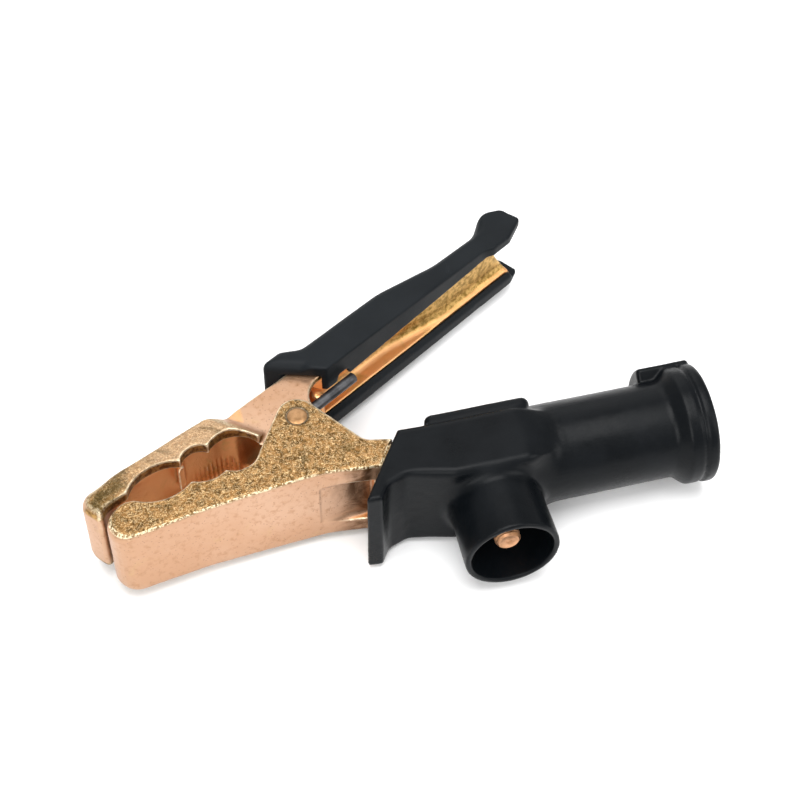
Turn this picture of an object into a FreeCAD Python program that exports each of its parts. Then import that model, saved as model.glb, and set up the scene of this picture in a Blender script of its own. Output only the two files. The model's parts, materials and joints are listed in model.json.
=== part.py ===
"""Ground clamp for a welding circuit, lying on its side.

Two brass levers turn on a rivet. The lower lever carries the cable terminal inside a black
boot, the upper lever is the handle that is squeezed, and a torsion spring shuts the jaws.
Plan outlines are drawn in the pivot frame: origin on the rivet's axis at mid height,
+X towards the cable, +Y towards the upper handle, +Z along the rivet. Millimetres.
"""
import FreeCAD, Part
import math
import os
import Sketcher
from FreeCAD import Placement, Rotation, Vector

doc = FreeCAD.newDocument("GroundClamp")

# ---------------------------------------------------------------- driving dimensions
DRIVING = {
    "pivot_east": (-33.99, "rivet axis, X in the row frame"),
    "pivot_north": (-10.55, "rivet axis, Y in the row frame"),
    "pivot_height": (22.9, "rivet middle, Z in the row frame"),
    "casting_width": (40.0, "jaws, ears and arm across Z"),
    "cheek_width": (27.4, "upper lever between the ears"),
    "ear_gap": (28.0, "slot between the ears"),
    "trough_width": (27.2, "hollow along each jaw, at its mouth"),
    "trough_floor_width": (20.0, "hollow along each jaw, at its floor"),
    "channel_width": (21.4, "inside of the handle channel"),
    "rivet_radius": (3.2, "pivot rivet"),
    "running_gap": (0.05, "radial clearance of a pin that turns"),
    "post_radius": (2.7, "post that the spring's upper leg pushes"),
    "post_length": (12.2, "the same post, across Z"),
    "wire_radius": (2.1, "spring wire"),
    "coil_radius": (5.7, "spring, mean radius"),
    "coil_reach": (7.3, "the coil's end turns, from mid height"),
    "tail_width": (37.8, "tail of the lower lever inside the boot"),
    "recess_width": (23.0, "hollow under the arm"),
    "bolt_east": (64.9, "terminal bolt from the rivet"),
    "bolt_radius": (4.9, "M10 terminal bolt"),
    "bolt_length": (40.0, "terminal bolt under its head"),
    "hex_flats": (17.0, "bolt head and nut across flats"),
    "head_height": (6.4, "bolt head"),
    "nut_height": (8.4, "terminal nut"),
    "washer_radius": (10.0, "flat washer"),
    "washer_thick": (2.0, "flat washer"),
    "spring_washer_radius": (9.0, "lock washer"),
    "spring_washer_thick": (2.2, "lock washer"),
    "boot_width": (43.0, "boot across Z"),
    "boot_hollow": (38.6, "boot hollow across Z"),
    "pad_width": (40.0, "raised pad over the bolt head, across Z"),
    "head_room": (23.0, "pocket for the bolt head under the pad"),
    "tube_radius": (18.7, "boot tube, outside"),
    "tube_bore": (15.9, "boot tube, inside"),
    "port_radius": (18.0, "terminal port, outside"),
    "port_bore": (15.5, "terminal port, inside"),
    "stop_angle": (84.0, "share of a turn that the finger stop takes, in degrees"),
    "cover_width": (38.0, "handle cover across Z at its front"),
    "cover_hollow": (27.9, "inside of the handle cover"),
    "handle_angle": (31.3, "handle from the tube axis, jaws shut, degrees"),
}
sheet = doc.addObject("Spreadsheet::Sheet", "Dims")
for row, (alias, (value, meaning)) in enumerate(DRIVING.items(), 1):
    sheet.set(f"A{row}", meaning)
    sheet.set(f"B{row}", str(value))
    sheet.setAlias(f"B{row}", alias)
doc.recompute()
size = {alias: value for alias, (value, meaning) in DRIVING.items()}

TUBE_AXIS_Y = -25.0          # the cable leaves along this line
TAIL_TOP_Y = -20.5           # the bolt head's seat
TAIL_BOTTOM_Y = -30.0        # the cable lug's seat
HANDLE_ORIGIN = (15.8, 20.0)  # near front corner of the handle cover
EYE_RADIUS = 7.8             # rounding of the ears about the rivet


# ---------------------------------------------------------------- drawing helpers
def new_body(name):
    body = doc.addObject("PartDesign::Body", name)
    body.Label = name
    return body


def new_sketch(body, name, role="XY_Plane"):
    plane = next(f for f in body.Origin.OriginFeatures if f.Role == role)
    sketch = body.newObject("Sketcher::SketchObject", name)
    sketch.AttachmentSupport = [(plane, "")]
    sketch.MapMode = "FlatFace"
    return sketch


def arc_between(start, end, sag):
    """Arc from start to end that bulges to the right of the way by sag."""
    chord = end - start
    side = Vector(chord.y, -chord.x, 0).normalize()
    middle = (start + end) * 0.5 + side * sag
    return Part.Arc(start, middle, end)


def outline_edges(corners):
    """Closed outline. A corner is (x, y), (x, y, rounding) or (x, y, 0, sag to the next)."""
    count = len(corners)
    points = [Vector(c[0], c[1], 0) for c in corners]
    rounding = [c[2] if len(c) > 2 else 0 for c in corners]
    sags = [c[3] if len(c) > 3 else 0 for c in corners]
    entries, exits, rounds = [], [], []
    for i, point in enumerate(points):
        if not rounding[i]:
            entries.append(point)
            exits.append(point)
            rounds.append(None)
            continue
        back = (points[i - 1] - point).normalize()
        ahead = (points[(i + 1) % count] - point).normalize()
        half = back.getAngle(ahead) / 2
        run = rounding[i] / math.tan(half)
        inward = (back + ahead).normalize()
        centre = point + inward * (rounding[i] / math.sin(half))
        entries.append(point + back * run)
        exits.append(point + ahead * run)
        rounds.append(centre - inward * rounding[i])
    edges = []
    for i in range(count):
        following = (i + 1) % count
        if rounds[i]:
            edges.append(Part.Arc(entries[i], rounds[i], exits[i]))
        if sags[i]:
            edges.append(arc_between(exits[i], entries[following], sags[i]))
        elif exits[i].distanceToPoint(entries[following]) > 1e-6:
            edges.append(Part.LineSegment(exits[i], entries[following]))
    return edges


def draw(sketch, corners):
    """Draw a closed outline and block its edges in place."""
    for edge in outline_edges(corners):
        index = sketch.addGeometry(edge, False)
        sketch.addConstraint(Sketcher.Constraint("Block", index))


def circle(sketch, x, y, radius_cell, extra=""):
    """Circle whose radius is bound to a cell."""
    index = sketch.addGeometry(Part.Circle(Vector(x, y, 0), Vector(0, 0, 1), 1.0), False)
    sketch.addConstraint(Sketcher.Constraint("DistanceX", -1, 1, index, 3, x))
    sketch.addConstraint(Sketcher.Constraint("DistanceY", -1, 1, index, 3, y))
    radius = sketch.addConstraint(Sketcher.Constraint("Radius", index, 1.0))
    sketch.setExpression(f"Constraints[{radius}]", f"Dims.{radius_cell}{extra}")


def midplane(body, kind, name, sketch, cell):
    """Pad or Pocket, half each side of the sketch, its whole length bound to a cell."""
    feature = body.newObject(f"PartDesign::{kind}", name)
    feature.Profile = sketch
    feature.Midplane = True
    feature.setExpression("Length", f"Dims.{cell}")
    sketch.Visibility = False
    return feature


def plan(body, kind, name, corners, cell):
    """Plan outline on the XY plane, padded or pocketed about mid height."""
    sketch = new_sketch(body, name + "_sketch")
    draw(sketch, corners)
    return midplane(body, kind, name, sketch, cell)


def turned(body, kind, name, sketch, axis):
    """Revolution or Groove of a whole turn about one of the sketch's own lines."""
    feature = body.newObject(f"PartDesign::{kind}", name)
    feature.Profile = sketch
    feature.ReferenceAxis = (sketch, [axis])
    feature.Angle = 360.0
    sketch.Visibility = False
    return feature


def axis_line(sketch, start, end):
    """Construction line that a Revolution or Groove turns about."""
    sketch.addGeometry(Part.LineSegment(Vector(*start, 0), Vector(*end, 0)), True)


def place(thing, offset=(0.0, 0.0, 0.0), rotation=None):
    """Put a piece in the row frame, its own origin at this offset from the rivet's middle."""
    thing.Placement = Placement(Vector(), rotation or Rotation())
    for letter, cell, value in zip("xyz", ("pivot_east", "pivot_north", "pivot_height"), offset):
        thing.setExpression(f"Placement.Base.{letter}", f"Dims.{cell} + {value}")


# ---------------------------------------------------------------- lower lever
SHOULDER_BOTTOM = (25.2, -30.0)   # the boot butts against this slanted shoulder
SHOULDER_TOP = (32.2, -18.2)


NOSE_HALF = 17.8      # half width of a jaw at its nose
TAPER = (-62.0, -4.0)  # the jaws get thinner between these places


def taper_flanks(body):
    """Thin both flanks of a jaw towards its nose."""
    nose, root = TAPER
    full = size["casting_width"] / 2
    sketch = new_sketch(body, "flank_sketch", "XZ_Plane")
    for sign in (1, -1):
        draw(sketch, [(-95.0, sign * NOSE_HALF), (nose, sign * NOSE_HALF), (root, sign * full),
                      (root, sign * (full + 1)), (-95.0, sign * (full + 1))])
    flanks = body.newObject("PartDesign::Pocket", "flank_taper")
    flanks.Profile = sketch
    flanks.Type = "ThroughAll"
    flanks.Midplane = True


def make_lower_lever():
    """Cast jaw with two ears for the rivet, and a tail that carries the terminal."""
    body = new_body("lower_lever")
    plan(body, "Pad", "casting", [
        (-79.4, -39.6, 7.5), (-40.0, -32.6, 90.0), (4.0, -28.2, 60.0), (19.0, -29.8, 14.0),
        SHOULDER_BOTTOM, SHOULDER_TOP, (22.0, -16.6, 6.0), (-0.65, 14.72, EYE_RADIUS),
        (-17.2, -12.4, 0, -3.2), (-30.1, -16.6, 0, -2.1), (-43.2, -18.2, 0, -3.7),
        (-64.5, -21.2), (-70.0, -21.2, 8.0), (-75.2, -25.8, 3.0)],
        "casting_width")
    taper_flanks(body)
    plan(body, "Pocket", "ear_slot", [
        (-30.0, 30.0), (-18.0, -9.0), (-15.0, -10.6), (40.0, -10.6), (40.0, 30.0)], "ear_gap")
    plan(body, "Pocket", "trough_mouth", [
        (-69.0, -28.3, 3.0), (-21.0, -21.6, 3.0), (-16.0, -10.0), (-69.0, -10.0)],
        "trough_width")
    plan(body, "Pocket", "trough_floor", [
        (-69.0, -30.3, 4.0), (-26.0, -24.0, 5.0), (-20.0, -15.0), (-69.0, -15.0)],
        "trough_floor_width")
    plan(body, "Pocket", "arm_recess", [
        (0.0, -28.4), (24.0, -25.6, 4.0), (30.0, -40.0), (0.0, -40.0)], "recess_width")
    plan(body, "Pad", "tail", [
        (22.0, TAIL_BOTTOM_Y), (82.0, TAIL_BOTTOM_Y, 1.5), (82.0, TAIL_TOP_Y, 1.5),
        (22.0, TAIL_TOP_Y)], "tail_width")

    rivet_hole = new_sketch(body, "rivet_hole_sketch")
    circle(rivet_hole, 0, 0, "rivet_radius", " + Dims.running_gap")
    midplane(body, "Pocket", "rivet_hole", rivet_hole, "casting_width")

    seat = new_sketch(body, "rivet_seat_sketch", "XZ_Plane")
    face = size["casting_width"] / 2
    hole = size["rivet_radius"] + size["running_gap"]
    for sign in (1, -1):
        draw(seat, [(0, sign * (face - PEENING)), (hole, sign * (face - PEENING)),
                    (hole + PEENING + 0.1, sign * (face + 0.1)), (0, sign * (face + 0.1))])
    turned(body, "Groove", "rivet_seat", seat, "V_Axis")

    bolt_hole = new_sketch(body, "bolt_hole_sketch", "XZ_Plane")
    circle(bolt_hole, size["bolt_east"], 0, "bolt_radius", " + 0.35")
    drill = body.newObject("PartDesign::Pocket", "bolt_hole")
    drill.Profile = bolt_hole
    drill.Type = "ThroughAll"
    drill.Midplane = True
    body.Tip = drill
    place(body)
    return body


# ---------------------------------------------------------------- upper lever
def handle_to_plan(along, out):
    """Handle frame (along the handle, out to its back) to the pivot frame."""
    angle = math.radians(size["handle_angle"])
    east = HANDLE_ORIGIN[0] + along * math.cos(angle) - out * math.sin(angle)
    north = HANDLE_ORIGIN[1] + along * math.sin(angle) + out * math.cos(angle)
    return east, north


CHANNEL_NEAR = 2.4     # near edge of the channel, out from the cover's near face
CHANNEL_BACK = 12.9    # back of the channel at its front half
CHANNEL_THIN = 8.1     # back of the channel at its rear half
CHANNEL_END = 100.7    # end of the channel along the handle, at mid height
END_SLANT = -0.526     # how far that end moves along the handle for each mm up
CHANNEL_REACH = 109.0  # the channel is drawn to here and cut off on the slant
WALL = 3.0             # casting wall of the channel
POST = (-3.6, 1.75)    # the spring's post in the handle frame
STEP = ((-12.0, 0.5), (-24.6, 10.6))    # plan line where the jaw's flank falls to the cheek
RAMP_RUN = 7.5


def cut_ramp(body):
    """Slope both flanks of the jaw down to the cheeks along the step line."""
    (east, north), (far_east, far_north) = STEP
    heading = math.degrees(math.atan2(far_north - north, far_east - east)) - 90.0
    sketch = new_sketch(body, "ramp_sketch", "XZ_Plane")
    sketch.AttachmentOffset = Placement(
        Vector(east, 0, -north), Rotation(Vector(0, 1, 0), heading))
    flank, cheek = size["casting_width"] / 2, size["cheek_width"] / 2 + 0.2
    for sign in (1, -1):
        draw(sketch, [(0.2, sign * cheek), (0.2, sign * (flank + 1)),
                      (-RAMP_RUN, sign * (flank + 1)), (-RAMP_RUN, sign * flank)])
    ramp = body.newObject("PartDesign::Pocket", "ramp")
    ramp.Profile = sketch
    ramp.Midplane = True
    ramp.setExpression("Length", "2 * Dims.casting_width")


def end_at(height, short=0.0):
    """How far along the handle the channel ends at this height."""
    return CHANNEL_END - short + END_SLANT * height


def cut_handle_end(body):
    """Cut the channel's end off on the slant."""
    sketch = new_sketch(body, "handle_end_sketch", "XZ_Plane")
    east, north = HANDLE_ORIGIN
    turn = Rotation(Vector(0, 1, 0), size["handle_angle"])
    sketch.AttachmentOffset = Placement(Vector(east, 0, -north), turn)
    draw(sketch, [(end_at(20.0), 20.0), (CHANNEL_REACH + 9.0, 20.0),
                  (CHANNEL_REACH + 9.0, -20.0), (end_at(-20.0), -20.0)])
    slant = body.newObject("PartDesign::Pocket", "handle_end")
    slant.Profile = sketch
    slant.Midplane = True
    slant.setExpression("Length", "2 * Dims.casting_width")


def make_upper_lever():
    """Cast jaw that runs on as two cheeks about the rivet and a channel-shaped handle."""
    body = new_body("upper_lever")
    handle = [handle_to_plan(1.0, CHANNEL_NEAR), handle_to_plan(CHANNEL_REACH, CHANNEL_NEAR),
              handle_to_plan(CHANNEL_REACH, CHANNEL_THIN),
              (*handle_to_plan(67.0, CHANNEL_THIN), 40.0),
              (*handle_to_plan(40.0, CHANNEL_BACK), 40.0),
              (*handle_to_plan(-16.0, CHANNEL_BACK), 60.0)]
    plan(body, "Pad", "cheeks", [
        (-24.0, -0.6), (-16.0, -5.6), (-8.4, -8.4, 8.0), (8.4, -8.4, 8.0),
        (8.4, 7.6, 0, -2.9), (13.0, 21.2)] + handle + [(-22.0, 12.6, 6.0), (-30.0, 7.0)],
        "cheek_width")
    plan(body, "Pad", "jaw", [
        (-77.6, -26.2, 2.0), (-74.2, -21.4, 5.0), (-66.6, -17.8, 0, -4.6),
        (-45.4, -9.2, 0, -3.4), (-34.6, -5.0, 0, -5.4), (-15.6, -5.0), *STEP,
        (-30.0, 10.6, 20.0), (-87.2, -15.0, 6.0)], "casting_width")
    taper_flanks(body)
    cut_ramp(body)
    plan(body, "Pocket", "trough_mouth", [
        (-70.0, -40.0), (-10.0, -40.0), (-14.0, -1.2), (-30.0, 3.8, 6.0),
        (-70.0, -13.3, 4.0)], "trough_width")
    plan(body, "Pocket", "trough_floor", [
        (-70.0, -40.0), (-22.0, -40.0), (-22.0, 0.0), (-30.0, 6.2, 8.0),
        (-70.0, -10.9, 4.0)], "trough_floor_width")
    plan(body, "Pocket", "channel", [
        (-24.0, -30.0), handle_to_plan(CHANNEL_REACH + 5.0, -20.0),
        handle_to_plan(CHANNEL_REACH + 5.0, CHANNEL_THIN - WALL),
        (*handle_to_plan(67.0, CHANNEL_THIN - WALL), 40.0),
        (*handle_to_plan(40.0, CHANNEL_BACK - WALL), 40.0),
        (*handle_to_plan(-14.0, CHANNEL_BACK - WALL), 50.0), (-20.0, 6.4, 8.0),
        (-30.0, 2.0)], "channel_width")
    cut_handle_end(body)

    along, out = POST
    plan(body, "Pad", "post_rib", [
        handle_to_plan(along - 1.2, out), handle_to_plan(along + 1.2, out),
        handle_to_plan(along + 1.2, CHANNEL_BACK - 1.0),
        handle_to_plan(along - 1.2, CHANNEL_BACK - 1.0)], "post_length")
    post = new_sketch(body, "post_sketch")
    circle(post, *handle_to_plan(along, out), "post_radius")
    midplane(body, "Pad", "post", post, "post_length")

    hole = new_sketch(body, "rivet_hole_sketch")
    circle(hole, 0, 0, "rivet_radius", " + Dims.running_gap")
    body.Tip = midplane(body, "Pocket", "rivet_hole", hole, "cheek_width")
    place(body)
    return body


# ---------------------------------------------------------------- rivet
PEENING = 0.8


def make_pivot_rivet():
    """Solid rivet, its ends peened out flush into the countersunk ears."""
    body = new_body("pivot_rivet")
    profile = new_sketch(body, "rivet_profile", "XZ_Plane")
    radius, half = size["rivet_radius"], size["casting_width"] / 2
    draw(profile, [(0, -half), (radius + PEENING, -half), (radius, PEENING - half),
                   (radius, half - PEENING), (radius + PEENING, half), (0, half)])
    turned(body, "Revolution", "rivet", profile, "V_Axis")
    place(body)
    return body


# ---------------------------------------------------------------- torsion spring
UPPER_LEG = 34.6           # straight length of the leg in the handle
LOWER_LEG = 22.0           # straight length of the leg on the lower lever
LOWER_LEG_ANGLE = -8.5     # plan direction of the lower leg
WHOLE_TURNS = 3


def make_torsion_spring():
    """Left-hand coil round the rivet, one leg in the handle and one on the lower lever."""
    wire, coil, reach = size["wire_radius"], size["coil_radius"], size["coil_reach"]
    bottom = LOWER_LEG_ANGLE - 90.0
    top = size["handle_angle"] + 90.0
    turns = WHOLE_TURNS + (bottom + 360.0 - top) / 360.0
    helix = Part.makeHelix(2 * reach / turns, 2 * reach, coil, 0, True)
    section = Part.Wire(Part.Circle(Vector(coil, 0, 0), Vector(0, 1, 0), wire).toShape())
    winding = Part.Wire(helix).makePipeShell([section], True, True)
    winding.rotate(Vector(), Vector(0, 0, 1), bottom)
    winding.translate(Vector(0, 0, -reach))

    def leg(at, height, heading, length):
        at, heading = math.radians(at), math.radians(heading)
        foot = Vector(coil * math.cos(at), coil * math.sin(at), height)
        rod = Part.makeCylinder(wire, length, foot, Vector(math.cos(heading), math.sin(heading), 0))
        return rod.fuse(Part.makeSphere(wire * 1.001, foot))

    legs = [leg(top, reach, size["handle_angle"], UPPER_LEG),
            leg(bottom, -reach, LOWER_LEG_ANGLE, LOWER_LEG)]
    spring = doc.addObject("Part::Feature", "torsion_spring")
    spring.Label = "torsion_spring"
    spring.Shape = winding.fuse(legs)
    place(spring)
    return spring


# ---------------------------------------------------------------- handle cover
KNOB_BOTTOM = 11.5     # the thumb knob is above this
FLANGE_TOP = -13.95    # the lower wall of the grip is below this


def make_handle_cover():
    """Black grip of C section that wraps the channel, with a guard and an end knob."""
    body = new_body("handle_cover")
    plan(body, "Pad", "grip", [
        (0.0, 0.0), (88.0, 0.0, 10.0), (92.0, -1.8, 4.0), (101.0, -1.8, 6.0), (111.4, 2.4, 1.5),
        (110.6, 12.0, 4.0), (102.0, 16.6, 8.0), (93.0, 11.4, 6.0), (90.0, 10.5, 4.0),
        (68.0, 10.7, 40.0), (42.0, 15.6, 40.0), (1.0, 15.8, 6.0), (-6.0, 20.6, 5.0),
        (-14.6, 20.6, 3.0), (-16.0, 18.0, 1.0)], "cover_width")
    back = 0.3
    plan(body, "Pocket", "hollow", [
        (-30.0, CHANNEL_NEAR - back), (CHANNEL_REACH, CHANNEL_NEAR - back),
        (CHANNEL_REACH, CHANNEL_THIN + back), (67.0, CHANNEL_THIN + back, 40.0),
        (40.0, CHANNEL_BACK + back, 40.0), (-30.0, CHANNEL_BACK + back)], "cover_hollow")

    sides = new_sketch(body, "taper_sketch", "XZ_Plane")
    front, rear = size["cover_width"] / 2, 17.0
    for sign in (1, -1):
        draw(sides, [(0, sign * front), (112, sign * (rear - 0.4)), (112, sign * (front + 1)),
                     (0, sign * (front + 1))])
    taper = body.newObject("PartDesign::Pocket", "taper")
    taper.Profile = sides
    taper.Type = "ThroughAll"
    taper.Midplane = True

    mouth = new_sketch(body, "slot_sketch", "XZ_Plane")
    draw(mouth, [(-20, -10.4), (120, -9.4), (120, 12.6), (12, 5.2), (11, 9.4), (6.5, 9.4),
                 (5.5, 6.0), (-20, 6.8)])
    slot = body.newObject("PartDesign::Pocket", "slot")
    slot.Profile = mouth
    slot.Length = 5.4
    slot.Midplane = True
    opened = new_sketch(body, "end_sketch", "XZ_Plane")
    draw(opened, [(end_at(FLANGE_TOP, 0.8), FLANGE_TOP), (120, FLANGE_TOP), (120, KNOB_BOTTOM),
                  (end_at(KNOB_BOTTOM, 0.8), KNOB_BOTTOM)])
    end = body.newObject("PartDesign::Pocket", "open_end")
    end.Profile = opened
    end.Type = "ThroughAll"
    end.Midplane = True
    body.Tip = end
    angle = Rotation(Vector(0, 0, 1), size["handle_angle"])
    place(body, (*HANDLE_ORIGIN, 0.0), angle)
    return body


# ---------------------------------------------------------------- cable boot
TUBE_START = 92.0
TUBE_END = 151.4
STOP_START = 130.0
STOP_RADIUS = 24.4


def make_cable_boot():
    """Black boot over the tail: box, raised pad, terminal port, tube, collar, finger stop."""
    body = new_body("cable_boot")
    plan(body, "Pad", "box", [
        (15.2, -44.8, 0.8), (21.4, -45.4, 1.2), (25.2, -39.4, 3.0), (33.0, -36.8, 8.0),
        (50.0, -41.2, 10.0), (78.0, -41.6), (78.0, -15.5), (34.2, -15.5, 1.0)], "boot_width")
    plan(body, "Pad", "pad", [
        (45.0, -18.0), (84.0, -18.0), (87.0, -10.5, 3.0), (45.0, -10.5, 3.0)], "pad_width")

    half = size["boot_width"] / 2
    box_end = new_sketch(body, "box_end", "YZ_Plane")
    box_end.AttachmentOffset = Placement(Vector(0, 0, 78.0), Rotation())
    draw(box_end, [(-41.6, -half), (-15.5, -half), (-15.5, half), (-41.6, half)])
    tube_start = new_sketch(body, "tube_start", "YZ_Plane")
    tube_start.AttachmentOffset = Placement(Vector(0, 0, TUBE_START), Rotation())
    radius = size["tube_radius"]
    corner = [(TUBE_AXIS_Y + radius * math.cos(math.radians(a)), radius * math.sin(math.radians(a)))
              for a in (225, 315, 45, 135)]
    sag = radius * (1 - math.cos(math.radians(45)))
    draw(tube_start, [(*c, 0, sag) for c in corner])
    loft = body.newObject("PartDesign::AdditiveLoft", "shoulder")
    loft.Profile = box_end
    loft.Sections = [tube_start]
    loft.Ruled = True

    tube = new_sketch(body, "tube_profile")
    bead = TUBE_AXIS_Y
    draw(tube, [
        (TUBE_START - 2, bead), (TUBE_START - 2, bead + radius), (136.0, bead + radius, 3.0),
        (140.4, bead + 22.5, 2.0), (144.8, bead + 22.6, 1.0), (146.0, bead + 21.9),
        (147.2, bead + 22.9, 0.8), (TUBE_END, bead + 22.9, 2.0), (TUBE_END, bead)])
    axis_line(tube, (0, bead), (10, bead))
    turned(body, "Revolution", "tube", tube, "Axis0")

    port = new_sketch(body, "port_profile")
    east, outer = size["bolt_east"], size["port_radius"]
    draw(port, [
        (east, -36.0), (east, -66.5), (east + outer, -66.5, 0.8), (east + outer - 0.4, -36.0)])
    axis_line(port, (east, 0), (east, -10))
    turned(body, "Revolution", "port", port, "Axis0")

    stop = new_sketch(body, "stop_profile")
    draw(stop, [(STOP_START, bead + radius - 1.2), (TUBE_END - 0.4, bead + radius - 1.2),
                (TUBE_END - 0.4, bead + STOP_RADIUS, 2.0),
                (STOP_START, bead + STOP_RADIUS, 3.0)])
    axis_line(stop, (0, bead), (10, bead))
    sector = turned(body, "Revolution", "finger_stop", stop, "Axis0")
    sector.Midplane = True
    sector.setExpression("Angle", "Dims.stop_angle")

    plan(body, "Pocket", "mouth", [
        (10.0, TAIL_BOTTOM_Y - 0.3), (50.0, TAIL_BOTTOM_Y - 0.3), (50.0, TAIL_TOP_Y + 0.3),
        (10.0, TAIL_TOP_Y + 0.3)], "boot_hollow")
    plan(body, "Pocket", "hollow", [
        (44.0, -35.8, 2.0), (82.5, -35.8, 2.0), (82.5, -18.0), (44.0, -18.0, 2.0)], "boot_hollow")
    plan(body, "Pocket", "head_pocket", [
        (53.0, -20.0), (77.0, -20.0), (77.0, -13.9, 2.0), (53.0, -13.9, 2.0)], "head_room")

    bore = new_sketch(body, "bore_profile")
    inner = size["tube_bore"]
    draw(bore, [(80.0, bead), (80.0, bead + 9.4), (94.0, bead + inner, 6.0),
                (TUBE_END - 1.2, bead + inner), (TUBE_END + 0.1, bead + inner + 1.3),
                (TUBE_END + 0.1, bead)])
    axis_line(bore, (0, bead), (10, bead))
    turned(body, "Groove", "tube_bore", bore, "Axis0")

    port_bore = new_sketch(body, "port_bore_profile")
    inside = size["port_bore"]
    draw(port_bore, [
        (east, -31.0), (east, -66.6), (east + inside, -66.6), (east + inside, -31.0)])
    axis_line(port_bore, (east, 0), (east, -10))
    drilled = turned(body, "Groove", "port_bore", port_bore, "Axis0")
    body.Tip = drilled
    place(body)
    return body


# ---------------------------------------------------------------- terminal hardware
def hexagon(flats):
    radius = flats / math.sqrt(3)
    return [(radius * math.cos(math.radians(a)), radius * math.sin(math.radians(a)))
            for a in range(0, 360, 60)]


def lift(sketch, cells):
    """Raise a sketch above its plane by a sum of cells."""
    sketch.setExpression("AttachmentOffset.Base.z", cells)


def place_on_bolt(body):
    """Own +Z axis along the terminal bolt, away from the seat of its head."""
    place(body, (0.0, TAIL_TOP_Y, 0.0), Rotation(Vector(1, 0, 0), 90))
    body.setExpression("Placement.Base.x", "Dims.pivot_east + Dims.bolt_east")


def make_terminal_bolt():
    body = new_body("terminal_bolt")
    head_sketch = new_sketch(body, "head_sketch")
    draw(head_sketch, hexagon(size["hex_flats"]))
    head = body.newObject("PartDesign::Pad", "head")
    head.Profile = head_sketch
    head.setExpression("Length", "Dims.head_height")
    head.Reversed = True
    shank = new_sketch(body, "shank_profile", "XZ_Plane")
    radius, length = size["bolt_radius"], size["bolt_length"]
    draw(shank, [(0, -1), (radius, -1), (radius, length - 0.9), (radius - 0.9, length), (0, length)])
    turned(body, "Revolution", "shank", shank, "V_Axis")
    place_on_bolt(body)
    return body


TAIL_THICK = TAIL_TOP_Y - TAIL_BOTTOM_Y


def make_ring(name, start, thick_cell, outer_cell, gap, slit=None):
    """Ring on the bolt that starts this far below the head's seat."""
    body = new_body(name)
    sketch = new_sketch(body, name + "_sketch")
    lift(sketch, start)
    circle(sketch, 0, 0, outer_cell)
    circle(sketch, 0, 0, "bolt_radius", f" + {gap}")
    ring = body.newObject("PartDesign::Pad", name + "_ring")
    ring.Profile = sketch
    ring.setExpression("Length", f"Dims.{thick_cell}")
    if slit:
        cut = new_sketch(body, name + "_slit", "XZ_Plane")
        low = TAIL_THICK + size["washer_thick"] - 0.1
        high = low + size["spring_washer_thick"] + 0.2
        draw(cut, [(3.0, low), (12.0, low), (12.0, high), (3.0, high)])
        gap_cut = body.newObject("PartDesign::Pocket", name + "_gap")
        gap_cut.Profile = cut
        gap_cut.Length = slit
        gap_cut.Midplane = True
        body.Tip = gap_cut
    place_on_bolt(body)
    return body


def make_terminal_nut():
    body = new_body("terminal_nut")
    sketch = new_sketch(body, "nut_sketch")
    lift(sketch, f"{TAIL_THICK} + Dims.washer_thick + Dims.spring_washer_thick")
    draw(sketch, hexagon(size["hex_flats"]))
    circle(sketch, 0, 0, "bolt_radius", " + Dims.running_gap")
    nut = body.newObject("PartDesign::Pad", "nut")
    nut.Profile = sketch
    nut.setExpression("Length", "Dims.nut_height")
    place_on_bolt(body)
    return body


# ---------------------------------------------------------------- build, check, write
pieces = [
    make_lower_lever(),
    make_upper_lever(),
    make_pivot_rivet(),
    make_torsion_spring(),
    make_handle_cover(),
    make_cable_boot(),
    make_terminal_bolt(),
    make_ring("flat_washer", f"{TAIL_THICK}", "washer_thick", "washer_radius", 0.35),
    make_ring("lock_washer", f"{TAIL_THICK} + Dims.washer_thick", "spring_washer_thick",
              "spring_washer_radius", 0.2, slit=1.6),
    make_terminal_nut(),
]
doc.recompute()
for thing in doc.Objects:
    if "Invalid" in thing.State or "Error" in thing.State:
        raise RuntimeError(f"{thing.Name} failed: {thing.State}")

os.makedirs("parts", exist_ok=True)
box = FreeCAD.BoundBox()
for piece in pieces:
    shape = piece.Shape
    if shape.isNull() or not shape.isValid():
        raise RuntimeError(f"{piece.Label} has no valid shape")
    if len(shape.Solids) != 1:
        raise RuntimeError(f"{piece.Label} has {len(shape.Solids)} solids")
    box.add(shape.optimalBoundingBox())
    shape.exportStep(f"parts/{piece.Label}.step")
    print(f"{piece.Label:16s} {shape.Volume:9.0f} mm3  {shape.BoundBox}")
print("box", box, "centre", round(box.Center.x, 2), round(box.Center.y, 2))
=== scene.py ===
"""Looks of the ground clamp: castings, mouldings, spring and hardware built as meshes.

Shapes are worked out in millimetres in the pivot frame: origin on the rivet's axis at mid
height, +X towards the cable, +Y towards the upper handle, +Z along the rivet. Castings and
mouldings are signed-distance fields (negative inside) skinned with quads.
"""
import bpy
import json
import math
import numpy as np
from mathutils import Matrix, Vector


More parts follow.
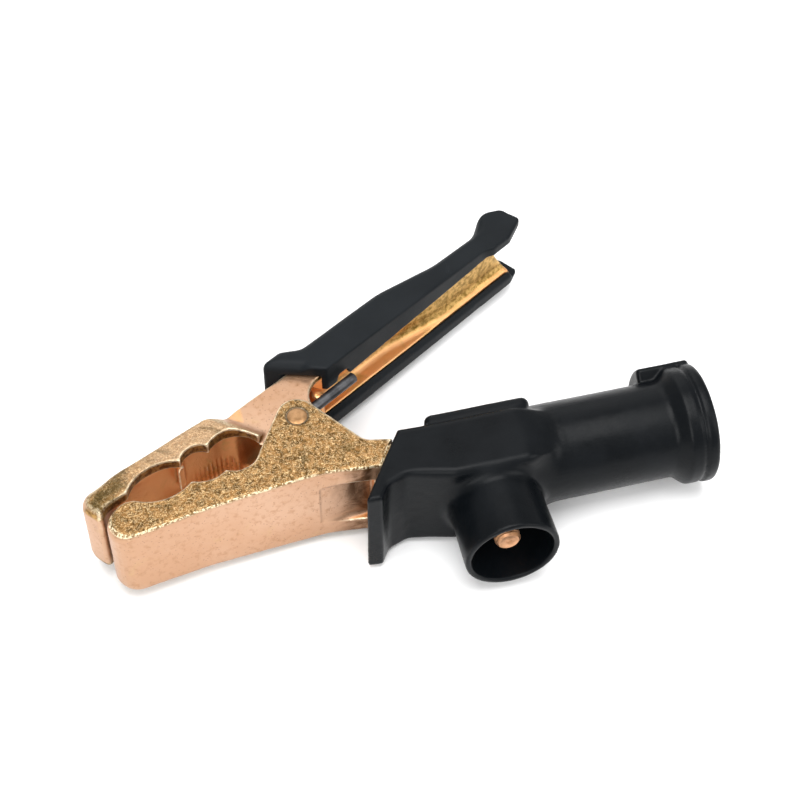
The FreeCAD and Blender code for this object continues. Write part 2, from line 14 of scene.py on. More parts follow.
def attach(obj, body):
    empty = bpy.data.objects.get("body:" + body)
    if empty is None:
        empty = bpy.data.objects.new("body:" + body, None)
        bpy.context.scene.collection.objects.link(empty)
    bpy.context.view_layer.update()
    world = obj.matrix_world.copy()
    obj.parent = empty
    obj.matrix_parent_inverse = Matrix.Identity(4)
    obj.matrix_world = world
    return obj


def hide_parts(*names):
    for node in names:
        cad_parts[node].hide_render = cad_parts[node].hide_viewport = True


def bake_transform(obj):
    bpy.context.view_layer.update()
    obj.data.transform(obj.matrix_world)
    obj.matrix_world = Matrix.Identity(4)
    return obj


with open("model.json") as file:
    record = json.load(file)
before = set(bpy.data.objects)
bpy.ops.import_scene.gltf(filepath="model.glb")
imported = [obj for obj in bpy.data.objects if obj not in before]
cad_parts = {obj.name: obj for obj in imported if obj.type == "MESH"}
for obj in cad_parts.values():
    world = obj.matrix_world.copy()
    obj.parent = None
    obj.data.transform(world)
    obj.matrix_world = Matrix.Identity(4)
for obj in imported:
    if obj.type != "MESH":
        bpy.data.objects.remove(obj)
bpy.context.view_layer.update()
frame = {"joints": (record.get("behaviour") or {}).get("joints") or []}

MM = 0.001
PIVOT = np.array(frame["joints"][0]["pos_m"]) / MM

HALF_CASTING = 20.0      # ears and arm, half across Z
HALF_NOSE = 17.8         # the jaws are thinner at their noses
HALF_CHEEK = 13.7        # upper lever between the ears
HALF_TROUGH = 13.6       # hollow along each jaw
HALF_CHANNEL = 10.7      # inside of the handle channel
HALF_EAR_SLOT = 14.0     # slot between the ears
HALF_RECESS = 11.5       # hollow under the arm
HALF_TAIL = 18.9         # tail inside the boot
HALF_BOOT = 21.5
HALF_PAD = 20.0          # raised pad over the bolt's head
HALF_BOOT_HOLLOW = 19.3
HALF_HEAD_POCKET = 11.5
TUBE_RADIUS = 18.7
TUBE_BORE = 15.9
PORT_BORE = 15.5
BOLT_HOLE = 5.25
RIVET = 3.2
HANDLE_ANGLE = math.radians(31.3)
HANDLE_ORIGIN = np.array([15.8, 20.0])
TUBE_Y = -25.0           # the cable's line
BOLT_X = 64.9
TAIL_TOP = -20.5
TAIL_BOTTOM = -30.0


# ---------------------------------------------------------------- fields
class Grid:
    """Box of sample points, with x, y and z ready to broadcast."""

    def __init__(self, low, high, step):
        self.low, self.step = np.array(low, float), step
        counts = np.ceil((np.array(high) - self.low) / step).astype(int) + 1
        self.x, self.y, self.z = (
            (self.low[k] + step * np.arange(counts[k])).reshape([-1 if k == m else 1 for m in range(3)])
            for k in range(3))


def sweep(start, end, sag, parts):
    """Points of an arc from start to end that bulges to the right of the way by sag."""
    chord = end - start
    length = math.hypot(*chord)
    side = np.array([chord[1], -chord[0]]) / length
    radius = (length * length / 4 + sag * sag) / (2 * abs(sag))
    centre = (start + end) / 2 + side * (sag - math.copysign(radius, sag))
    first = math.atan2(*(start - centre)[::-1])
    turn = math.atan2(*(end - centre)[::-1]) - first
    turn = (turn + math.pi) % (2 * math.pi) - math.pi
    return [centre + radius * np.array([math.cos(first + turn * k / parts),
                                        math.sin(first + turn * k / parts)])
            for k in range(parts + 1)]


def outline(corners, parts=8):
    """Polygon through corners (x, y), (x, y, rounding) or (x, y, 0, sag to the next)."""
    points = [np.array(c[:2], float) for c in corners]
    found = []
    for i, point in enumerate(points):
        rounding = corners[i][2] if len(corners[i]) > 2 else 0
        if not rounding:
            found.append([point])
            continue
        back, ahead = points[i - 1] - point, points[(i + 1) % len(points)] - point
        back, ahead = back / math.hypot(*back), ahead / math.hypot(*ahead)
        half = math.acos(max(-1.0, min(1.0, float(back @ ahead)))) / 2
        run = rounding / math.tan(half)
        inward = (back + ahead) / math.hypot(*(back + ahead))
        reach = rounding / math.sin(half) - rounding
        start, end = point + back * run, point + ahead * run
        bulge = np.linalg.norm((start + end) / 2 - (point + inward * reach))
        side = ahead[0] * back[1] - ahead[1] * back[0]
        found.append(sweep(start, end, math.copysign(bulge, side), parts))
    path = []
    for i, stretch in enumerate(found):
        path += stretch
        if len(corners[i]) > 3:
            path += sweep(stretch[-1], found[(i + 1) % len(found)][0], corners[i][3], 2 * parts)[1:-1]
    return path


def flat(corners, x, y):
    """Signed distance in the plane to a closed outline."""
    points = outline(corners)
    shape = np.broadcast(x, y).shape
    nearest, sign = np.full(shape, 1e9), np.ones(shape)
    for (ax, ay), (bx, by) in zip(points, points[1:] + points[:1]):
        ex, ey, wx, wy = bx - ax, by - ay, x - ax, y - ay
        if ex * ex + ey * ey < 1e-12:
            continue
        along = np.clip((wx * ex + wy * ey) / (ex * ex + ey * ey), 0, 1)
        nearest = np.minimum(nearest, (wx - ex * along) ** 2 + (wy - ey * along) ** 2)
        above, below, left = y >= ay, y < by, ex * wy > ey * wx
        sign = np.where((above & below & left) | ~(above | below | left), -sign, sign)
    return sign * np.sqrt(nearest)


def meet(a, b, radius=0.0):
    """What is in both, the edge between them rounded."""
    a, b = a + radius, b + radius
    return np.minimum(np.maximum(a, b), 0) + np.hypot(np.maximum(a, 0), np.maximum(b, 0)) - radius


def join(a, b, radius=0.0):
    """What is in either, with a fillet between them."""
    return -meet(-a, -b, radius)


def cut(a, b, radius=0.0):
    """What is in a and not in b, the edge between them rounded."""
    return meet(a, -b, radius)


def slab(distance, half, z, radius):
    """Plan field given a thickness of half each side, its edges rounded."""
    return meet(distance, np.abs(z) - half, radius)


def ease(value, low, high):
    """0 below low, 1 above high, smooth between."""
    share = np.clip((value - low) / (high - low), 0, 1)
    return share * share * (3 - 2 * share)


def lumps(x, y, z, size, seed):
    """Smooth random field between -1 and 1 whose lumps are size across."""
    lattice = np.random.default_rng(seed).uniform(-1, 1, (32, 32, 32))
    cells, shares = [], []
    for value in (x, y, z):
        value = value / size + 500.0
        whole = np.floor(value).astype(int)
        share = value - whole
        cells.append(whole)
        shares.append(share * share * (3 - 2 * share))
    total = 0.0
    for i in (0, 1):
        for j in (0, 1):
            for k in (0, 1):
                weight = ((shares[0] if i else 1 - shares[0]) * (shares[1] if j else 1 - shares[1])
                          * (shares[2] if k else 1 - shares[2]))
                total = total + weight * lattice[
                    (cells[0] + i) % 32, (cells[1] + j) % 32, (cells[2] + k) % 32]
    return total


def sampled(field, at):
    """Field at fractional grid places."""
    base = np.clip(np.floor(at).astype(int), 0, np.array(field.shape) - 2)
    share = at - base
    total = np.zeros(len(at))
    for i in (0, 1):
        for j in (0, 1):
            for k in (0, 1):
                weight = (np.abs(1 - i - share[:, 0]) * np.abs(1 - j - share[:, 1])
                          * np.abs(1 - k - share[:, 2]))
                total += weight * field[base[:, 0] + i, base[:, 1] + j, base[:, 2] + k]
    return total


def skin(grid, field):
    """Vertices and outward quads of the surface where the field is zero."""
    inside = field < 0
    shape = np.array(field.shape) - 1
    steps = [(i, j, k) for i in (0, 1) for j in (0, 1) for k in (0, 1)]
    count = sum(inside[i:i + shape[0], j:j + shape[1], k:k + shape[2]].astype(np.int8)
                for i, j, k in steps)
    cells = np.argwhere((count > 0) & (count < 8))
    number = np.full(shape, -1)
    number[tuple(cells.T)] = np.arange(len(cells))
    total, hits = np.zeros((len(cells), 3)), np.zeros(len(cells))
    unit = np.eye(3, dtype=int)
    for corner in steps:
        for axis in range(3):
            if corner[axis]:
                continue
            near, far = cells + corner, cells + corner + unit[axis]
            a, b = field[tuple(near.T)], field[tuple(far.T)]
            crossing = (a < 0) != (b < 0)
            share = np.where(crossing, a / np.where(crossing, a - b, 1), 0)
            total += (np.array(corner) + share[:, None] * unit[axis]) * crossing[:, None]
            hits += crossing
    places = cells + total / hits[:, None]
    for _ in range(2):
        height = sampled(field, places)
        slope = np.stack([sampled(field, places + half) - sampled(field, places - half)
                          for half in unit * 0.5], 1)
        steepness = np.maximum((slope ** 2).sum(1), 0.01)
        move = slope * (height / steepness)[:, None]
        places -= np.clip(move, -0.4, 0.4)
    quads = []
    for axis in range(3):
        u, w = unit[(axis + 1) % 3], unit[(axis + 2) % 3]
        ahead = np.roll(inside, -1, axis)
        change = inside != ahead
        change[tuple(slice(-1, None) if m == axis else slice(None) for m in range(3))] = False
        edge = np.argwhere(change)
        edge = edge[(edge @ u > 0) & (edge @ w > 0)]
        ring = np.stack([number[tuple((edge - back).T)] for back in (u + w, w, 0 * u, u)], 1)
        outward = inside[tuple(edge.T)]
        ring[~outward] = ring[~outward][:, ::-1]
        quads.append(ring)
    return grid.low + grid.step * places, np.concatenate(quads)


# ---------------------------------------------------------------- pieces
def add_piece(name, points, faces, body, material, stands_for=(), smooth_angle=None):
    """Mesh from points in the pivot frame, riding on a body and standing for CAD nodes."""
    mesh = bpy.data.meshes.new(name)
    mesh.from_pydata(((np.asarray(points) + PIVOT) * MM).tolist(), [],
                     faces.tolist() if isinstance(faces, np.ndarray) else faces)
    mesh.validate()
    if smooth_angle is None:
        mesh.shade_smooth()
    piece = bpy.data.objects.new(name, mesh)
    bpy.context.scene.collection.objects.link(piece)
    if smooth_angle is not None:
        mesh.shade_smooth()
        mesh.set_sharp_from_angle(angle=math.radians(smooth_angle))
    mesh.materials.append(material)
    if body:
        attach(piece, body)
    if stands_for:
        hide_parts(*stands_for)
    return piece


def handle_to_plan(points):
    """Handle frame (along the handle, out to its back, Z) to the pivot frame."""
    points = np.asarray(points, float)
    c, s = math.cos(HANDLE_ANGLE), math.sin(HANDLE_ANGLE)
    east = HANDLE_ORIGIN[0] + points[:, 0] * c - points[:, 1] * s
    north = HANDLE_ORIGIN[1] + points[:, 0] * s + points[:, 1] * c
    return np.stack([east, north, points[:, 2]], 1)


def plan_point(along, out):
    """One handle-frame place as a plan corner."""
    return tuple(handle_to_plan([(along, out, 0.0)])[0, :2])


def turned(profile, parts=64):
    """Points and faces of a closed profile (radius, height) turned about Z."""
    points, faces = [], []
    count = len(profile)
    for k in range(parts):
        angle = 2 * math.pi * k / parts
        points += [(r * math.cos(angle), r * math.sin(angle), h) for r, h in profile]
    for k in range(parts):
        following = (k + 1) % parts
        for i in range(count - 1):
            faces.append((k * count + i, following * count + i,
                          following * count + i + 1, k * count + i + 1))
    return np.array(points), faces


def capped(points, faces, parts, count):
    """Close both ends of a turned profile whose first and last rings are open."""
    faces = list(faces)
    faces.append([k * count for k in range(parts)][::-1])
    faces.append([k * count + count - 1 for k in range(parts)])
    return points, faces


def on_bolt(points):
    """From a frame along the bolt (+Z away from its head's seat) to the pivot frame."""
    points = np.asarray(points, float)
    return np.stack([points[:, 0] + BOLT_X, TAIL_TOP - points[:, 2], points[:, 1]], 1)


# ---------------------------------------------------------------- materials
class Nodes:
    """Short names for building one material."""

    def __init__(self, name):
        self.material = bpy.data.materials.new(name)
        self.material.use_nodes = True
        self.tree = self.material.node_tree
        self.shader = self.tree.nodes["Principled BSDF"]
        self.coordinates = self.add("ShaderNodeTexCoord")
        self.place = self.coordinates.outputs["Object"]

    def add(self, kind, **values):
        node = self.tree.nodes.new(kind)
        for key, value in values.items():
            setattr(node, key, value)
        return node

    def link(self, source, target):
        self.tree.links.new(source, target)

    def noise(self, scale, detail=4.0, roughness=0.55, distortion=0.0, vector=None):
        node = self.add("ShaderNodeTexNoise")
        node.inputs["Scale"].default_value = scale
        node.inputs["Detail"].default_value = detail
        node.inputs["Roughness"].default_value = roughness
        node.inputs["Distortion"].default_value = distortion
        self.link(vector or self.place, node.inputs["Vector"])
        return node.outputs["Fac"]

    def cells(self, scale):
        node = self.add("ShaderNodeTexVoronoi", feature="F1")
        node.inputs["Scale"].default_value = scale
        self.link(self.place, node.inputs["Vector"])
        return node.outputs["Distance"]

    def stretch(self, x, y, z):
        node = self.add("ShaderNodeMapping")
        node.inputs["Scale"].default_value = (x, y, z)
        self.link(self.place, node.inputs["Vector"])
        return node.outputs["Vector"]

    def span(self, value, low, high, to_low=0.0, to_high=1.0):
        node = self.add("ShaderNodeMapRange", interpolation_type="SMOOTHSTEP")
        node.inputs["From Min"].default_value = low
        node.inputs["From Max"].default_value = high
        node.inputs["To Min"].default_value = to_low
        node.inputs["To Max"].default_value = to_high
        self.link(value, node.inputs["Value"])
        return node.outputs["Result"]

    def math(self, kind, a, b):
        node = self.add("ShaderNodeMath", operation=kind)
        for socket, value in zip(node.inputs, (a, b)):
            if isinstance(value, (int, float)):
                socket.default_value = value
            else:
                self.link(value, socket)
        return node.outputs["Value"]

    def times(self, a, b):
        return self.math("MULTIPLY", a, b)

    def plus(self, a, b):
        return self.math("ADD", a, b)

    def size_of(self, value):
        """The value without its sign."""
        return self.math("ABSOLUTE", value, 0.0)

    def mix(self, share, a, b):
        node = self.add("ShaderNodeMix", data_type="RGBA", blend_type="MIX")
        if isinstance(share, (int, float)):
            node.inputs["Factor"].default_value = share
        else:
            self.link(share, node.inputs["Factor"])
        for socket, value in ((node.inputs[6], a), (node.inputs[7], b)):
            if isinstance(value, tuple):
                socket.default_value = (*value, 1.0)
            else:
                self.link(value, socket)
        return node.outputs[2]

    def bump(self, height, strength, distance, normal=None):
        node = self.add("ShaderNodeBump")
        node.inputs["Strength"].default_value = strength
        node.inputs["Distance"].default_value = distance
        self.link(height, node.inputs["Height"])
        if normal:
            self.link(normal, node.inputs["Normal"])
        return node.outputs["Normal"]

    def split(self, vector):
        """X, Y and Z sockets of a vector."""
        node = self.add("ShaderNodeSeparateXYZ")
        self.link(vector, node.inputs["Vector"])
        return node.outputs

    def place_mm(self, axis):
        """One coordinate in the pivot frame, in millimetres."""
        value = self.split(self.place)[axis]
        return self.math("SUBTRACT", self.times(value, 1.0 / MM), float(PIVOT[axis]))

    def normal(self, axis):
        """One component of the normal in the piece's own axes."""
        return self.split(self.coordinates.outputs["Normal"])[axis]

    def edge(self, low, high):
        """Mask from the geometry's pointiness: over 0.5 on convex edges, under it in corners."""
        geometry = self.add("ShaderNodeNewGeometry")
        return self.span(geometry.outputs["Pointiness"], low, high)

    def finish(self, colour, roughness, normal=None, **constants):
        shader = self.shader
        self.link(colour, shader.inputs["Base Color"])
        self.link(roughness, shader.inputs["Roughness"])
        if normal:
            self.link(normal, shader.inputs["Normal"])
        for key, value in constants.items():
            shader.inputs[key.replace("_", " ")].default_value = value
        return self.material


class Casting(Nodes):
    """Masks and textures that the areas of a brass casting share.

    bite is the side of the lever that its hollow faces: 1 for +Y, -1 for -Y.
    """

    def __init__(self, name, bite):
        super().__init__(name)
        self.upper = bite < 0
        self.x_mm = self.place_mm(0)
        self.z_away = self.size_of(self.place_mm(2))
        self.steep = self.size_of(self.normal(2))
        self.to_bite = self.times(self.normal(1), float(bite))
        self.grain = self.noise(1300, 3, 0.7)
        self.coarse = self.noise(430, 4, 0.65)
        self.stains = self.noise(70, 5, 0.62, 0.7)
        self.clouds = self.noise(30, 3, 0.5)
        self.pits = self.cells(620)
        self.inner = self.z_away
        if self.upper:
            cheeks = self.span(self.x_mm, -20.0, -14.0, 0.0, 2.2)
            self.inner = self.plus(self.z_away, cheeks)

    def flank_colour(self):
        """Speckled gold with bright lines painted as glints of the grain, olive stains, paler behind
        the upper nose.
        """
        # Bright lines: painted glints on the cast grain.
        glint_threads = self.size_of(self.math("SUBTRACT", self.noise(620, 2, 0.6, 1.2), 0.5))
        glint_threads = self.span(glint_threads, 0.035, 0.0)
        colour = self.mix(self.span(self.coarse, 0.36, 0.64), (0.105, 0.054, 0.015),
                          (0.36, 0.19, 0.064))
        colour = self.mix(self.span(self.grain, 0.55, 0.70), colour, (0.64, 0.385, 0.155))
        colour = self.mix(self.times(glint_threads, 0.75), colour, (1.0, 0.74, 0.40))
        if self.upper:
            pale = self.mix(self.span(self.grain, 0.35, 0.65), (0.46, 0.29, 0.16),
                            (0.66, 0.46, 0.29))
            colour = self.mix(self.span(self.x_mm, -78.0, -52.0, 0.0, 0.7), colour, pale)
        nose = self.span(self.x_mm, -60.0, -80.0)
        stain = self.span(self.plus(self.stains, self.times(nose, 0.16)), 0.54, 0.74, 0.0, 0.78)
        return self.mix(stain, colour, (0.060, 0.042, 0.010))

    def side_colour(self):
        """Smooth copper with brown mottling and pits, darker toward the boot."""
        colour = self.mix(self.span(self.clouds, 0.35, 0.68), (0.47, 0.275, 0.165),
                          (0.55, 0.355, 0.24))
        colour = self.mix(self.span(self.coarse, 0.50, 0.68, 0.0, 0.55), colour,
                          (0.36, 0.19, 0.095))
        colour = self.mix(self.span(self.stains, 0.60, 0.78, 0.0, 0.5), colour,
                          (0.50, 0.34, 0.16))
        colour = self.mix(self.span(self.pits, 0.17, 0.06, 0.0, 0.8), colour, (0.16, 0.07, 0.03))
        if self.upper:
            return colour
        scale = self.times(self.span(self.x_mm, 4.0, 18.0), self.span(self.stains, 0.40, 0.60))
        return self.mix(scale, colour, (0.13, 0.058, 0.022))

    def hollow_colour(self):
        """Orange, and gold on the floor of the handle's channel."""
        colour = self.mix(self.span(self.clouds, 0.3, 0.7), (0.78, 0.36, 0.13),
                          (0.90, 0.49, 0.22))
        colour = self.mix(self.span(self.stains, 0.52, 0.72, 0.0, 0.7), colour,
                          (0.60, 0.38, 0.13))
        if not self.upper:
            return colour
        gold = self.mix(self.span(self.coarse, 0.36, 0.62), (0.25, 0.145, 0.030),
                        (0.60, 0.37, 0.12))
        gilded = self.times(self.span(self.x_mm, 10.0, 60.0), self.span(self.z_away, 10.4, 9.0))
        return self.mix(gilded, colour, gold)

    def wall_mask(self):
        """Faces outside the hollow that look toward its side of the lever."""
        wall = self.times(self.span(self.steep, 0.80, 0.45), self.span(self.to_bite, 0.02, 0.30))
        return self.times(wall, self.span(self.inner, 13.0, 13.8))

    def add_rim(self, colour):
        """Rounded edge between the flanks and the sides, darkened, with a sparkling painted highlight
        along it.
        """
        rim = self.times(self.span(self.steep, 0.45, 0.66), self.span(self.steep, 0.94, 0.82))
        rim = self.times(rim, self.span(self.z_away, 15.0, 16.5))
        # Painted highlight sparkling along the middle of the rounding, weaker on the upper lever.
        rim_highlight = self.times(rim, self.span(self.noise(1100, 2, 0.6), 0.42, 0.58))
        if self.upper:
            rim_highlight = self.times(rim_highlight, 0.4)
        colour = self.mix(self.times(rim, 0.5), colour, (0.20, 0.12, 0.035))
        return self.mix(rim_highlight, colour, (1.0, 0.84, 0.56))

    def add_rivet_gap(self, colour):
        """Dark ring round the rivet's end."""
        y_mm = self.place_mm(1)
        off_rivet = self.plus(self.times(self.x_mm, self.x_mm), self.times(y_mm, y_mm))
        off_rivet = self.math("SQRT", off_rivet, 0.0)
        return self.mix(self.span(off_rivet, 4.9, 4.3, 0.0, 0.85), colour, (0.06, 0.03, 0.008))

    def add_wear_and_painted_light(self, colour):
        """Bright edges from wear and a painted highlight, not under the grip, and painted shade in the
        corners.
        """
        # Convex edges brightened: wear and a painted edge highlight.
        wear_and_highlight = self.times(self.edge(0.515, 0.56), self.span(self.coarse, 0.30, 0.55, 0.35, 1.0))
        if self.upper:
            wear_and_highlight = self.times(wear_and_highlight, self.span(self.x_mm, 14.0, 6.0))
        colour = self.mix(wear_and_highlight, colour, (1.0, 0.86, 0.62))
        # Concave corners darkened: painted shade.
        return self.mix(self.edge(0.48, 0.42), colour, (0.16, 0.06, 0.015))


def cast_brass(name, bite):
    """Gold flanks, copper sides, orange hollows, bright edges from wear and a painted highlight,
    painted shade in corners.
    """
    n = Casting(name, bite)
    flank = n.times(n.span(n.steep, 0.55, 0.85), n.span(n.z_away, 14.6, 16.6))
    hollow = n.times(n.span(n.inner, 13.9, 13.3), n.span(n.to_bite, -0.45, -0.15))
    hollow = n.times(hollow, n.span(n.x_mm, -72.5, -70.5))
    colour = n.mix(hollow, n.side_colour(), n.hollow_colour())
    wall_colour = n.mix(n.span(n.coarse, 0.38, 0.62), (0.13, 0.065, 0.016), (0.42, 0.24, 0.075))
    colour = n.mix(n.wall_mask(), colour, wall_colour)
    colour = n.mix(flank, colour, n.flank_colour())
    colour = n.add_rim(colour)
    if not n.upper:
        colour = n.add_rivet_gap(colour)
    colour = n.add_wear_and_painted_light(colour)
    roughness = n.add("ShaderNodeMix", data_type="FLOAT")
    n.link(flank, roughness.inputs["Factor"])
    n.link(n.span(n.clouds, 0.3, 0.7, 0.34, 0.48), roughness.inputs[2])
    n.link(n.span(n.grain, 0.35, 0.7, 0.60, 0.34), roughness.inputs[3])
    rises = n.times(n.plus(n.grain, n.coarse), n.plus(flank, 0.10))
    rises = n.plus(rises, n.times(n.span(n.pits, 0.13, 0.02), -0.25))
    return n.finish(colour, roughness.outputs[0], n.bump(rises, 0.7, 0.0007), Metallic=0.88)


def plain_brass(name, light, dark):
    """Turned or upset brass: fine scratches, a thin tarnish and painted shade in corners."""
    n = Nodes(name)
    clouds = n.noise(260, 4, 0.6)
    scratches = n.noise(900, 3, 0.7, 0.0, n.stretch(1.0, 1.0, 6.0))
    colour = n.mix(n.span(clouds, 0.35, 0.7), light, dark)
    # Darker in concave corners: painted shade.
    colour = n.mix(n.edge(0.47, 0.40), colour, tuple(c * 0.35 for c in dark))
    roughness = n.span(scratches, 0.3, 0.7, 0.28, 0.48)
    return n.finish(colour, roughness, n.bump(scratches, 0.25, 0.0002), Metallic=0.9)


def spring_steel():
    """Dark oiled wire with drawing lines and a trace of rust."""
    n = Nodes("spring_steel")
    lines = n.noise(700, 3, 0.6, 0.0, n.stretch(0.2, 0.2, 1.0))
    clouds = n.noise(240, 4, 0.6)
    colour = n.mix(n.span(clouds, 0.3, 0.7), (0.045, 0.045, 0.048), (0.10, 0.10, 0.105))
    colour = n.mix(n.span(clouds, 0.66, 0.8, 0.0, 0.5), colour, (0.16, 0.09, 0.05))
    return n.finish(colour, n.span(lines, 0.3, 0.7, 0.34, 0.52), n.bump(lines, 0.2, 0.0002),
                    Metallic=0.85)


def zinc_steel():
    """Zinc-plated hardware, slightly bluish, with dull patches."""
    n = Nodes("zinc_steel")
    clouds = n.noise(380, 4, 0.6)
    colour = n.mix(n.span(clouds, 0.3, 0.75), (0.62, 0.62, 0.60), (0.44, 0.45, 0.46))
    return n.finish(colour, n.span(clouds, 0.3, 0.7, 0.30, 0.50), n.bump(clouds, 0.15, 0.0002),
                    Metallic=0.95)


def black_moulding(name, dark, light, rough_low, rough_high, grain_scale, gloss):
    """Moulded black plastic or rubber: fine grain, faint dust, paler edges from rubbing and a painted
    highlight.
    """
    n = Nodes(name)
    grain = n.noise(grain_scale, 3, 0.6)
    clouds = n.noise(42, 4, 0.6)
    scuffs = n.noise(180, 5, 0.7, 0.4, n.stretch(1.0, 0.35, 1.0))
    colour = n.mix(n.span(clouds, 0.3, 0.7), dark, light)
    colour = n.mix(n.span(scuffs, 0.62, 0.8, 0.0, 0.35), colour, tuple(3.0 * c for c in light))
    # Paler edges: rubbing and a painted edge highlight.
    colour = n.mix(n.edge(0.54, 0.64), colour, tuple(1.6 * c for c in light))
    patches = n.plus(n.times(clouds, 0.7), n.times(grain, 0.3))
    roughness = n.span(patches, 0.35, 0.65, rough_low, rough_high)
    normal = n.bump(grain, 0.16, 0.0002)
    normal = n.bump(clouds, 0.12, 0.0016, normal)
    return n.finish(colour, roughness, normal, IOR=1.5, Specular_IOR_Level=gloss)


LOWER_BRASS = cast_brass("lower_brass", 1)
UPPER_BRASS = cast_brass("upper_brass", -1)
RIVET_BRASS = plain_brass("rivet_brass", (0.44, 0.25, 0.12), (0.26, 0.14, 0.06))
BOLT_BRASS = plain_brass("bolt_brass", (0.58, 0.31, 0.17), (0.34, 0.17, 0.08))
STEEL = spring_steel()
ZINC = zinc_steel()
GRIP = black_moulding("grip_plastic", (0.0060, 0.0076, 0.0092), (0.0095, 0.0115, 0.0135),
                      0.42, 0.56, 1600, 0.10)
BOOT = black_moulding("boot_rubber", (0.0018, 0.0025, 0.0033), (0.0034, 0.0044, 0.0056),
                      0.27, 0.40, 1100, 0.11)


# ---------------------------------------------------------------- lower lever
def jaw_half(x):
    """Half width of a jaw, which tapers towards its nose."""
    return HALF_CASTING - (HALF_CASTING - HALF_NOSE) * np.clip((-4.0 - x) / 58.0, 0, 1)


def jaw_rounding(x, outer):
    """Edge radius: small at the bite, larger on the outer edges, largest at the nose."""
    return 0.9 + 1.3 * outer + 3.6 * ease(-x, 66.0, 80.0)


def lower_lever():
    """Jaw, ears, arm and tail cast in one."""
    g = Grid((-80.0, -41.5, -21.5), (84.0, 9.5, 21.5), 0.6)
    x, y, z = g.x, g.y, g.z
    outer = ease(0.12 * x - 22.0 - y, -2.0, 4.0)
    half = jaw_half(x)
    solid = meet(flat([
        (-79.4, -39.6, 7.5), (-40.0, -32.6, 90.0), (4.0, -28.2, 60.0), (19.0, -29.8, 14.0),
        (25.2, -30.0), (32.2, -18.2), (22.0, -16.6, 6.0), (-0.65, 14.72, 7.8),
        (-17.2, -12.4, 0, -3.2), (-30.1, -16.6, 0, -2.1), (-43.2, -18.2, 0, -3.7),
        (-64.5, -21.2), (-70.0, -21.2, 8.0), (-75.2, -25.8, 3.0)], x, y),
        np.abs(z) - half, jaw_rounding(x, outer))
    slot = np.maximum(flat([
        (-30.0, 30.0), (-18.0, -9.0, 1.0), (-15.0, -10.6, 1.0), (50.0, -10.6), (50.0, 30.0)],
        x, y), np.abs(z) - HALF_EAR_SLOT)
    solid = cut(solid, slot, 0.5)
    trough = slab(flat([
        (-69.0, -28.8, 4.0), (-26.0, -23.8, 5.0), (-17.5, -14.0), (-24.0, 0.0), (-69.0, 0.0)],
        x, y), HALF_TROUGH, z, 6.0)
    solid = cut(solid, trough, 0.7)
    recess = slab(flat([(2.0, -28.3), (24.0, -25.6, 4.0), (30.0, -45.0), (2.0, -45.0)], x, y),
                  HALF_RECESS, z, 2.0)
    solid = cut(solid, recess, 0.4)
    tail = slab(flat([(22.0, TAIL_BOTTOM), (82.0, TAIL_BOTTOM, 1.5), (82.0, TAIL_TOP, 1.5),
                      (22.0, TAIL_TOP)], x, y), HALF_TAIL, z, 1.0)
    solid = join(solid, tail, 0.4)
    from_rivet = np.hypot(x, y)
    seat = RIVET + 0.1 + 0.9 * ease(np.abs(z), 19.1, 20.0)
    solid = cut(solid, from_rivet - seat, 0.1)
    solid = cut(solid, np.hypot(x - BOLT_X, z) - BOLT_HOLE, 0.3)
    return skin(g, solid + casting_skin(x, y, z, 1))


def casting_skin(x, y, z, seed):
    """Slight waviness of a sand casting, never proud of the drawn shape."""
    return 0.17 + 0.10 * lumps(x, y, z, 9.0, seed) + 0.05 * lumps(x, y, z, 1.5, seed + 10)


# ---------------------------------------------------------------- upper lever
STEP = ((-12.0, 0.5), (-24.6, 10.6))    # plan line where the flank falls to the cheek
RAMP_RUN = 7.5           # the flank slopes down to the cheek over this length
NEAR = 2.4               # open side of the channel, across the handle frame
BACK = 12.9              # closed side of the channel in its front half
THIN = 8.1               # closed side of the channel in its rear half
WALL = 3.0               # casting wall of the channel
END = 100.7              # end of the channel along the handle, at mid height
SLANT = -0.526           # how far that end moves along the handle for each mm up
BEYOND = 109.0           # the channel is drawn to here and cut off on the slant
POST = (-3.6, 1.75)      # the spring's post in the handle frame
HALF_POST = 6.1
RIB_PITCH = 1.75         # cast ribs at the rear of the upper hollow
FAR = 200.0              # farther than any place in the casting


